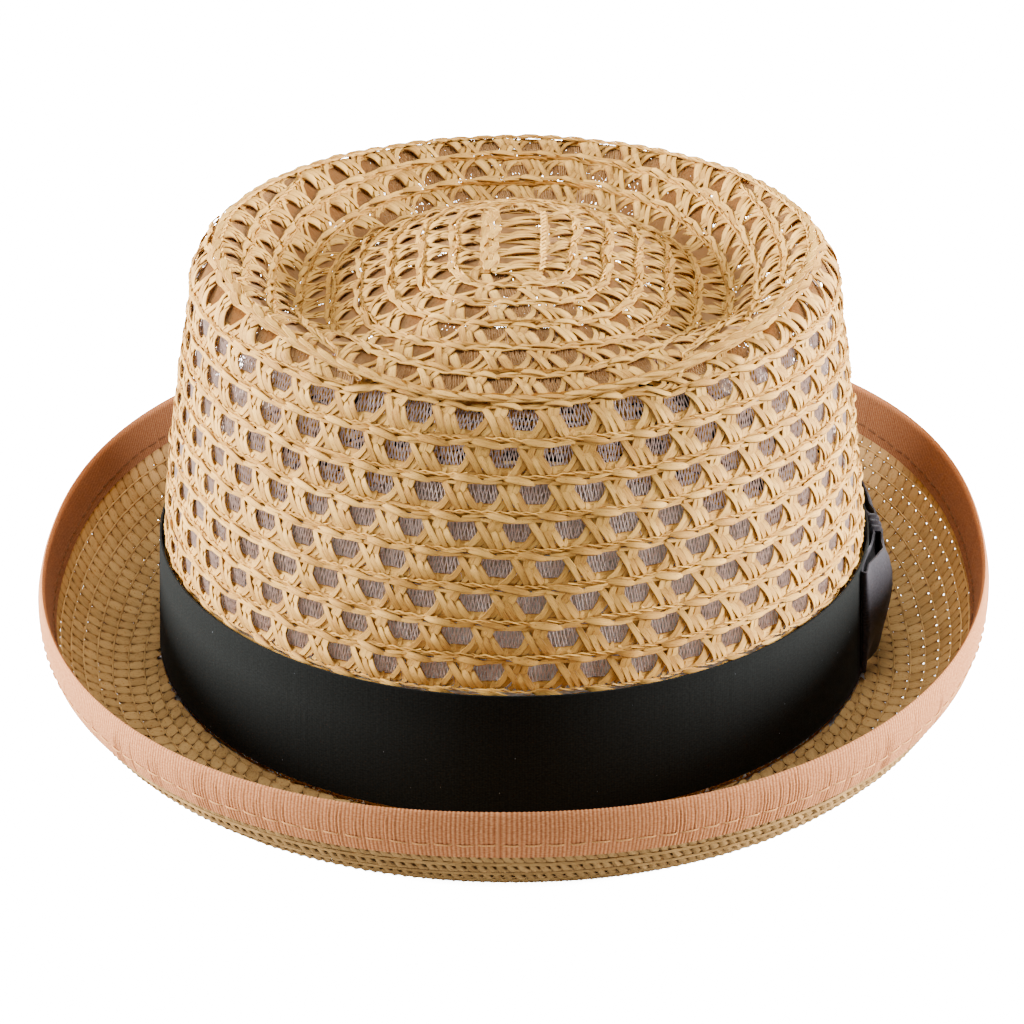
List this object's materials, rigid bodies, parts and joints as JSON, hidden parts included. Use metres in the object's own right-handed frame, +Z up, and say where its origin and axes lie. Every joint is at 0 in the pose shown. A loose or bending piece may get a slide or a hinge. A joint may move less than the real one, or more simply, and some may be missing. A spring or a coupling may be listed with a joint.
{
  "type": "straw hat",
  "caption": "Straw hat of openwork braid sewn in rows, with a telescoped round crown, a brim rolled up all round, a bound edge, a dark ribbon band and a flat side bow.",
  "frame": {"origin": "on the surface that the hat rests on, at the middle of its brim", "axes": "+Z up through the crown, -Y towards the front of the hat, +X towards the wearer's left"},
  "size_m": [0.2296, 0.2748, 0.1036],
  "materials": {
    "crown_straw": "openwork paper-straw braid, satin",
    "brim_straw": "close paper-straw plait, satin",
    "binding_ribbon": "ribbed grosgrain, matt",
    "band_ribbon": "ribbed grosgrain, faint sheen",
    "bow_ribbon": "ribbed grosgrain, soft sheen"
  },
  "bodies": {
    "root": {"crown": "crown_straw", "brim": "brim_straw", "brim_binding": "binding_ribbon", "hat_band": "band_ribbon", "bow_front_loop": "bow_ribbon", "bow_back_loop": "bow_ribbon", "bow_knot": "bow_ribbon"}
  },
  "joints": []
}
